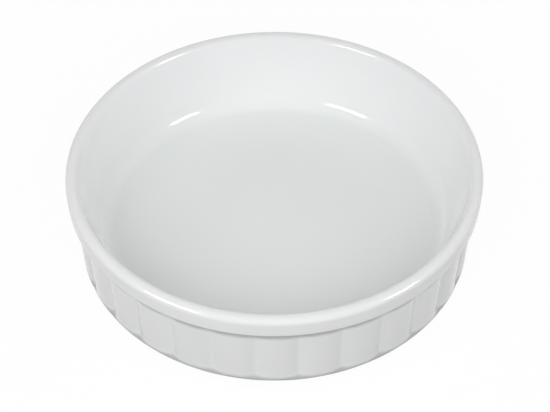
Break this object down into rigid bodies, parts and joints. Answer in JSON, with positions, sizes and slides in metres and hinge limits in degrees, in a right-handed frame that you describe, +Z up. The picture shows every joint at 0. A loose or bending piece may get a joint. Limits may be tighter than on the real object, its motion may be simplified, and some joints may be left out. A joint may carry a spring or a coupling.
{
  "type": "creme brulee dish",
  "caption": "Round shallow glazed porcelain dish with a fluted tapering outside, a rounded overhanging rim band and a bare foot ring, for baking and serving a custard.",
  "frame": {"origin": "on the table under the middle of the foot ring", "axes": "+Z up along the axis of the dish, -Y towards the camera of the picture, +X to its right"},
  "size_m": [0.125, 0.125, 0.0308],
  "materials": {
    "white_glaze": "clear glossy glaze over white porcelain",
    "bare_clay": "fired clay without glaze, ground flat"
  },
  "bodies": {
    "root": {"foot_ring": "bare_clay", "base_disc": "white_glaze", "heel_ring": "white_glaze", "fluted_wall": "white_glaze", "rim_band": "white_glaze"}
  },
  "joints": []
}
